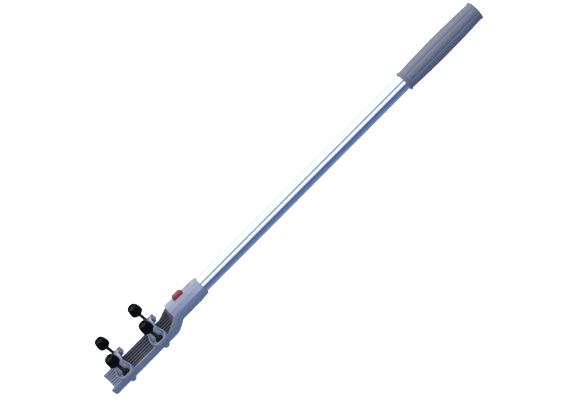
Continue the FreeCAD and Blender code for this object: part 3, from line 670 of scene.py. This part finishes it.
class TILLER_OT_grip(PieceOperator, bpy.types.Operator):
    """Build the soft fluted grip

    A barrel profile, swollen by a sine along its length, carried round the tube's axis.  Each groove takes a
    bell curve in angle from it, and a shallow cosine rounds the lands between the grooves.
    """

    bl_idname = "tiller.grip"
    bl_label = "Grip"

    def execute(self, context):
        shapes = context.scene.tiller_shape
        finish = vinyl_finish("grip_vinyl", context.scene.tiller_finish.grip)
        low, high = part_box("hand_grip")
        tube_low, tube_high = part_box("handle_tube")
        bore = (tube_high.y - tube_low.y) / 2.0
        barrel = (high.y - low.y) / 2.0
        lip, waist = barrel - 0.0006, barrel - 0.0018
        # The plain band at each end of the grip, and the length over which the grooves fade in.
        width, fade = 0.0035, 0.004
        span = high.x - low.x
        belly = np.linspace(0.0, 1.0, 29)
        barrel_x = low.x + width + 0.0008 + (span - 2 * width - 0.0016) * belly
        barrel_r = waist + (barrel - waist) * np.sin(math.pi * belly) ** 0.8
        ends = [(tube_high.x, 0.0), (tube_high.x, bore), (low.x, bore), (low.x, lip), (low.x + width, lip)]
        start = softened(ends + [(barrel_x[0], barrel_r[0])], 0.0007)[:-1]
        cap = softened([(barrel_x[-1], barrel_r[-1]), (high.x - width, lip), (high.x - 0.0012, lip),
                        (high.x, lip - 0.0026), (high.x - 0.0003, 0.0)], 0.0011)[1:]
        profile = resampled(np.concatenate([start, np.stack([barrel_x, barrel_r], axis=1), cap]),
                            spacing=2.4 * MILLIMETRE)
        along, radius = profile[:, 0], profile[:, 1]
        angles = np.linspace(0.0, TURN, shapes.grip_flutes * 24, endpoint=False)
        spacing = TURN / shapes.grip_flutes
        off_centre = (np.mod(angles + spacing / 2, spacing) - spacing / 2) * barrel
        groove = np.exp(-(off_centre / (shapes.grip_flute_width / 2)) ** 2)
        lobe = 0.5 - 0.5 * np.cos(shapes.grip_flutes * angles)
        fade_in = np.clip((along - barrel_x[0]) / fade, 0.0, 1.0)
        fade_out = np.clip((barrel_x[-1] - along) / fade, 0.0, 1.0)
        inside = fade_in * fade_out
        inside = np.where(radius > bore * 1.05, inside, 0.0)
        sink = shapes.grip_flute_depth * groove + 0.0003 * (1.0 - lobe)
        points = turned_points(along, radius, angles, -inside[:, None] * sink[None, :])
        points[..., 2] += tube_axis_height()
        add_piece("fluted_grip", [surface(points)], "handle", ["hand_grip"], finish)
        return {"FINISHED"}


def rounded_rectangle(half_length, half_width, corner, steps=6):
    """Points round a rectangle with circular corners, for whole arrays of sizes at once.

    Each corner is a quarter circle of that radius about a centre drawn in from the corner.
    """
    quarter = np.linspace(0.0, math.pi / 2, steps)
    angle = np.concatenate([quarter + turn * math.pi / 2 for turn in range(4)])
    side_x = np.repeat([1, -1, -1, 1], steps)
    side_y = np.repeat([1, 1, -1, -1], steps)
    x = side_x * (half_length - corner)[:, None] + corner[:, None] * np.cos(angle)
    y = side_y * (half_width - corner)[:, None] + corner[:, None] * np.sin(angle)
    return x, y


class TILLER_OT_button(PieceOperator, bpy.types.Operator):
    """Build the red latch button

    Rectangles with circular corners, one for each height from the foot to the crown, joined up the button.
    """

    bl_idname = "tiller.button"
    bl_label = "Latch button"

    def execute(self, context):
        finish = moulded_finish("button_plastic", context.scene.tiller_finish.latch, 0.30, 0.0, spread=0.06)
        low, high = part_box("latch_button")
        centre = (low.x + high.x) / 2.0
        foot = (high.x - low.x) / 2.0
        shank, width = foot - BUTTON_SHOULDER, (high.y - low.y) / 2.0
        head = high.z - BUTTON_HEAD
        # Heights with the half length, half width and corner radius of the section there, foot to crown.
        sections = np.array([
            (low.z, 0.0, 0.0, 0.0),
            (low.z, foot - 0.0003, width - 0.0003, 0.0008),
            (low.z + 0.0003, foot, width, 0.001),
            (low.z + 0.0018, foot, width, 0.001),
            (low.z + 0.0020, foot - 0.0002, width - 0.0001, 0.001),
            (low.z + 0.0020, shank, width - 0.0001, 0.001),
            (head, shank, width - 0.0001, 0.0013),
            (head + 0.0008, shank - 0.0002, width - 0.00015, 0.0014),
            (high.z - 0.0011, shank - 0.0015, width - 0.0007, 0.0015),
            (high.z - 0.0005, shank - 0.0019, width - 0.00105, 0.0016),
            (high.z - 0.00015, shank - 0.0025, width - 0.0016, 0.0015),
            (high.z - 0.00003, shank - 0.0034, width - 0.0024, 0.0012),
            (high.z, 0.0, 0.0, 0.0)])
        x, y = rounded_rectangle(sections[:, 1], sections[:, 2], sections[:, 3])
        points = np.stack([centre + x, y, np.broadcast_to(sections[:, :1], x.shape)], axis=-1)
        add_piece("push_button", [surface(points)], "button", ["latch_button"], finish,
                  math.radians(45.0))
        return {"FINISHED"}


class TILLER_OT_spring(PieceOperator, bpy.types.Operator):
    """Build the coil spring under the latch button

    A circle of wire carried along a helix.  The wire goes round at a steady rate, climbs slowly in the first
    and last turn, and shrinks to a point at each end.
    """

    bl_idname = "tiller.spring"
    bl_label = "Latch spring"

    def execute(self, context):
        shapes = context.scene.tiller_shape
        finish = drawn_metal_finish("spring_wire", context.scene.tiller_finish.spring, 0.22,
                                    streak=(1.0, 1.0, 1.0))
        low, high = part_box("latch_spring")
        wire = shapes.spring_wire / 2.0
        radius = (high.x - low.x) / 2.0 - wire
        centre_x, centre_y = (low.x + high.x) / 2.0, (low.y + high.y) / 2.0
        turns = shapes.spring_turns + 1.5
        travel = np.linspace(0.0, turns, int(turns * 40))
        rate = np.clip(np.minimum(travel, turns - travel) / 0.75, 0.12, 1.0)
        climb = np.concatenate([[0.0], np.cumsum((rate[1:] + rate[:-1]) / 2)])
        height = low.z + wire + (high.z - low.z - 2 * wire) * climb / climb[-1]
        angle = TURN * travel
        around = np.linspace(0.0, TURN, 12, endpoint=False)
        thick = np.full(len(travel), wire)
        thick[0] = thick[-1] = 0.0
        reach = radius + thick[:, None] * np.cos(around)
        points = np.stack([centre_x + reach * np.cos(angle)[:, None],
                           centre_y + reach * np.sin(angle)[:, None],
                           height[:, None] + thick[:, None] * np.sin(around)], axis=-1)
        spring = add_piece("coil_spring", [surface(points)], "handle", ["latch_spring"], finish,
                           math.radians(60.0))
        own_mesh(spring)
        return {"FINISHED"}


def soft_light(name, place, aim, across, deep, radiance, tint, spread=math.pi):
    """A softbox across the tube's direction that the camera itself does not see.

    The power comes from the radiance wanted on its face: radiance times pi times its area.
    """
    lamp = bpy.data.lights.new(name, "AREA")
    lamp.shape = "RECTANGLE"
    lamp.size, lamp.size_y = across, deep
    lamp.energy, lamp.color = radiance * math.pi * across * deep, tint
    lamp.spread = spread
    light = bpy.data.objects.new(name, lamp)
    back = (Vector(place) - Vector(aim)).normalized()
    side = Vector((1.0, 0.0, 0.0))
    turn = Matrix((side, back.cross(side), back)).transposed().to_4x4()
    light.matrix_world = Matrix.Translation(place) @ turn
    light.visible_camera = False
    bpy.context.scene.collection.objects.link(light)


class TILLER_OT_studio(PieceOperator, bpy.types.Operator):
    """Set the pale floor, the soft lights and the camera"""

    bl_idname = "tiller.studio"
    bl_label = "Studio"

    def execute(self, context):
        settings = context.scene.tiller_studio
        axis = tube_axis_height()
        middle = (CAD_BOUNDS[0].x + CAD_BOUNDS[1].x) / 2.0
        floor_height = axis - settings.floor_drop
        mesh = bpy.data.meshes.new("studio_floor")
        corners = np.array([(-1, -1, 0), (1, -1, 0), (1, 1, 0), (-1, 1, 0)]) * settings.floor_reach
        corners = corners + (middle, 0, floor_height)
        mesh.from_pydata(corners.tolist(), [], [(0, 1, 2, 3)])
        floor = bpy.data.objects.new("studio_floor", mesh)
        context.scene.collection.objects.link(floor)
        finish, tree, shader, place = new_finish("floor_paper")
        tones = [(0.3, (0.82, 0.85, 0.90)), (0.7, (0.84, 0.87, 0.92))]
        tree.links.new(blend_colours(tree, noise(tree, place, 3.0), tones), shader.inputs["Base Color"])
        shader.inputs["Roughness"].default_value = 0.9
        mesh.materials.append(finish)

        world = context.scene.world or bpy.data.worlds.new("studio_world")
        context.scene.world = world
        world.use_nodes = True
        background = world.node_tree.nodes["Background"]
        background.inputs["Color"].default_value = SKY
        background.inputs["Strength"].default_value = SKY_STRENGTH

        # Each light has its name, place, aim, width, depth, radiance and tint.
        plain = (1.0, 1.0, 1.0)
        here = (middle, 0.0, 0.0)
        soft_light("overhead_softbox", (middle, 0.22, 1.25), (middle, 0.22, 0.0), 1.8, 1.76, 1.5,
                   (1.0, 0.99, 0.97))
        soft_light("front_softbox", (middle, -2.74, 1.22), here, 1.9, 2.42, 0.85, plain)
        soft_light("front_strip", (middle, -2.6, 1.16), here, 1.9, 0.14, 5.0, plain)
        soft_light("back_softbox", (middle, 3.0, 1.9), (middle, 0.0, 0.3), 2.4, 3.4, 1.0, plain)
        soft_light("floor_light", (middle, 6.0, floor_height + 0.7), (middle, 6.0, floor_height), 4.4, 8.8,
                   2.5, plain, math.radians(110.0))

        lean, tilt = settings.roll, settings.elevation
        side_on = Vector((math.sin(settings.azimuth), math.cos(settings.azimuth), 0.0))
        along = Vector((math.cos(settings.azimuth), -math.sin(settings.azimuth), 0.0))
        ahead = side_on * math.cos(tilt) - Vector((0.0, 0.0, math.sin(tilt)))
        level_up = along.cross(ahead)
        right = math.cos(lean) * along - math.sin(lean) * level_up
        up = math.sin(lean) * along + math.cos(lean) * level_up
        camera = bpy.data.objects.new("camera", bpy.data.cameras.new("camera"))
        camera.data.lens = settings.lens
        camera.data.sensor_width = 36.0
        camera.data.clip_end = 50.0
        aimed = Vector((middle + AIM_SHIFT[0], *AIM_SHIFT[1:]))
        turn = Matrix((right, up, -ahead)).transposed().to_4x4()
        camera.matrix_world = Matrix.Translation(aimed - ahead * settings.distance) @ turn
        context.scene.collection.objects.link(camera)
        context.scene.camera = camera
        context.scene.view_settings.view_transform = "Standard"
        return {"FINISHED"}


class TILLER_PT_panel(bpy.types.Panel):
    """Lists the pieces in the sidebar of the 3D view"""

    bl_idname = "TILLER_PT_panel"
    bl_label = "Tiller Handle"
    bl_space_type = "VIEW_3D"
    bl_region_type = "UI"
    bl_category = "Tiller Handle"

    def draw(self, context):
        for operator in OPERATORS:
            self.layout.operator(operator.bl_idname)
        for name in SETTINGS:
            settings = getattr(context.scene, name)
            box = self.layout.box()
            for setting in settings.__annotations__:
                box.prop(settings, setting)


OPERATORS = (
    TILLER_OT_mouldings,
    TILLER_OT_studs,
    TILLER_OT_collars,
    TILLER_OT_knobs,
    TILLER_OT_inserts,
    TILLER_OT_tube,
    TILLER_OT_grip,
    TILLER_OT_button,
    TILLER_OT_spring,
    TILLER_OT_studio,
)
SETTINGS = {"tiller_finish": FinishSettings, "tiller_shape": ShapeSettings, "tiller_studio": StudioSettings}


def register():
    for kind in (*SETTINGS.values(), *OPERATORS, TILLER_PT_panel):
        bpy.utils.register_class(kind)
    for name, kind in SETTINGS.items():
        setattr(bpy.types.Scene, name, PointerProperty(type=kind))


def unregister():
    for name in SETTINGS:
        delattr(bpy.types.Scene, name)
    for kind in reversed((*SETTINGS.values(), *OPERATORS, TILLER_PT_panel)):
        bpy.utils.unregister_class(kind)


def main():
    """Build every piece in order."""
    register()
    for operator in OPERATORS:
        group, action = operator.bl_idname.split(".")
        getattr(getattr(bpy.ops, group), action)()


if __name__ == "__main__":
    main()
